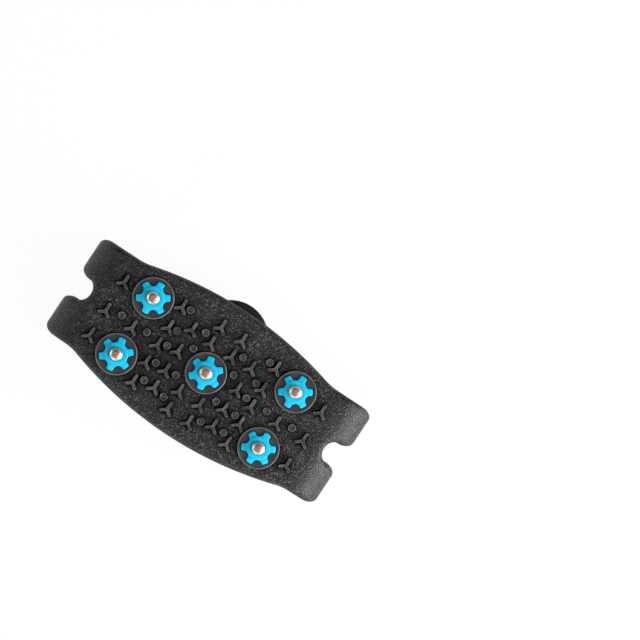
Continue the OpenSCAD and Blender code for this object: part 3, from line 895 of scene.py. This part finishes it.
# Painted shade, with a rougher face: the walls of lugs and pips and part of the long edges, darkened towards
# black
LONG_EDGE_SHARE = 0.6
long_edge = between_bends * ease((np.abs(places[:, 1]) - END_W / 2 + 2) / 2)
tread_side = ease(rise / 0.1) * ease((1.4 - rise) / 0.3)
paint(rubber, "unlit_wall", np.maximum(LONG_EDGE_SHARE * long_edge, tread_side))

harness = show(rubber, "rubber_harness", rubber_material())
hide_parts("sole_plate", "instep_disc", "band_left_front", "band_left_rear", "band_right_front",
            "band_right_rear")
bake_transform(harness)

# Stud units: mesh, material and slot of each piece
spike_steel = turned_metal("spike_steel", dark=(0.60, 0.56, 0.51), light=(0.82, 0.79, 0.74),
                           smooth=0.38, rough=0.52, pitch=0.0005, depth=0.000004,
                           tip_tint=((0.50, 0.37, 0.30), 1.4, 2.0))
washer_steel = turned_metal("washer_steel", dark=(0.40, 0.41, 0.42), light=(0.60, 0.61, 0.62),
                            smooth=0.30, rough=0.48, pitch=0.0004, depth=0.00001)
STUD_PIECES = {
    "disc": (disc_mesh(), carrier_material(), "carrier_black"),
    "gear": (gear_mesh(), gear_material(), "gear_cyan"),
    "spike": (lathe("spike", SPIKE_PROFILE, False), spike_steel, "spike_steel"),
    "tip": (lathe("tip", TIP_PROFILE, False, 40), carbide_material(), "tip_carbide"),
    "washer": (lathe("washer", WASHER_PROFILE, True), washer_steel, "washer_steel"),
}
for number, (x, y, turn) in enumerate(STUDS, 1):
    for kind, (mesh, material, slot) in STUD_PIECES.items():
        piece = show(mesh, f"stud_{number}_{kind}_look", material)
        piece.location = (x * MM, y * MM, 0)
        piece.rotation_euler = (0, 0, math.radians(turn))
        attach(piece, f"stud_{number}")
        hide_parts(f"stud_{number}_{kind}")

# Floor: white to the camera and to reflections, with the shadow of the cleat kept
FLOOR_SIZE, FLOOR_GAP, FLOOR_GLOW = 6, 0.00002, 0.94
bpy.ops.mesh.primitive_plane_add(size=FLOOR_SIZE, location=(0, 0, FLOOR_Z * MM - FLOOR_GAP))
floor = bpy.context.object
floor.name = "floor"
floor_nodes = Nodes("floor_white")
floor_nodes.shader.inputs["Base Color"].default_value = (0.95, 0.95, 0.95, 1)
floor_nodes.shader.inputs["Roughness"].default_value = 0.9
floor_nodes.shader.inputs["Specular IOR Level"].default_value = 0.0
rays = floor_nodes.add("ShaderNodeLightPath")
seen = floor_nodes.math("MAXIMUM", rays.outputs["Is Camera Ray"], rays.outputs["Is Glossy Ray"])
seen = floor_nodes.math("MAXIMUM", seen, rays.outputs["Is Transmission Ray"])
glow = floor_nodes.add("ShaderNodeEmission")
share = floor_nodes.add("ShaderNodeMixShader")
floor_nodes.link(floor_nodes.math("MULTIPLY", seen, FLOOR_GLOW), share.inputs["Fac"])
floor_nodes.link(floor_nodes.shader.outputs["BSDF"], share.inputs[1])
floor_nodes.link(glow.outputs["Emission"], share.inputs[2])
floor_nodes.link(share.outputs["Shader"], floor_nodes.tree.nodes["Material Output"].inputs["Surface"])
floor.data.materials.append(floor_nodes.material)

# Camera: straight down, turned so that the plate lies as in the photograph
PICTURE_TURN = math.radians(33.48)
CAMERA_AT = (0.02552, 0.04152)
CAMERA_HEIGHT, VIEW_LEVEL, VIEW_WIDTH = 1.30, 0.0058, 0.2477
SENSOR_WIDTH = 36
camera = bpy.data.objects.new("camera", bpy.data.cameras.new("camera"))
camera.data.sensor_width = SENSOR_WIDTH
camera.data.lens = SENSOR_WIDTH * CAMERA_HEIGHT / VIEW_WIDTH
camera.location = (*CAMERA_AT, VIEW_LEVEL + CAMERA_HEIGHT)
camera.rotation_euler = (0, 0, PICTURE_TURN)
bpy.context.scene.collection.objects.link(camera)
bpy.context.scene.camera = camera

# Soft lamps: two at the picture's right, low and high, and weaker ones at its left and its lower left.
# Each has its angle in the picture and its height in degrees, its distance, width, height and power.
LAMPS = [
    ("low_key", -27, 14, 1.0, 0.9, 0.48, 21),
    ("high_key", -36, 50, 1.0, 0.8, 0.8, 6),
    ("fill", 166, 24, 1.2, 0.9, 0.85, 7),
    ("front_fill", -124, 16, 1.2, 0.9, 0.35, 6.2),
]
for name, picture_angle, elevation, distance, width, height, power in LAMPS:
    around = math.radians(picture_angle) + PICTURE_TURN
    up = math.radians(elevation)
    way = Vector((math.cos(around) * math.cos(up), math.sin(around) * math.cos(up), math.sin(up)))
    lamp = bpy.data.objects.new(name, bpy.data.lights.new(name, "AREA"))
    lamp.data.shape = "RECTANGLE"
    lamp.data.size = width
    lamp.data.size_y = height
    lamp.data.energy = power
    lamp.location = way * distance
    lamp.rotation_euler = way.to_track_quat("Z", "Y").to_euler()
    bpy.context.scene.collection.objects.link(lamp)

# Dim white surround, darker overhead than at the horizon
SURROUND_SIDE, SURROUND_TOP = 0.18, 0.03
world = bpy.data.worlds.new("surround")
bpy.context.scene.world = world
world.use_nodes = True
surround = world.node_tree
background = surround.nodes["Background"]
background.inputs["Color"].default_value = (1, 1, 1, 1)
direction = surround.nodes.new("ShaderNodeTexCoord")
split = surround.nodes.new("ShaderNodeSeparateXYZ")
level = surround.nodes.new("ShaderNodeMapRange")
level.inputs["To Min"].default_value = SURROUND_SIDE
level.inputs["To Max"].default_value = SURROUND_TOP
surround.links.new(direction.outputs["Generated"], split.inputs["Vector"])
surround.links.new(split.outputs["Z"], level.inputs["Value"])
surround.links.new(level.outputs["Result"], background.inputs["Strength"])
bpy.context.scene.view_settings.view_transform = "Standard"
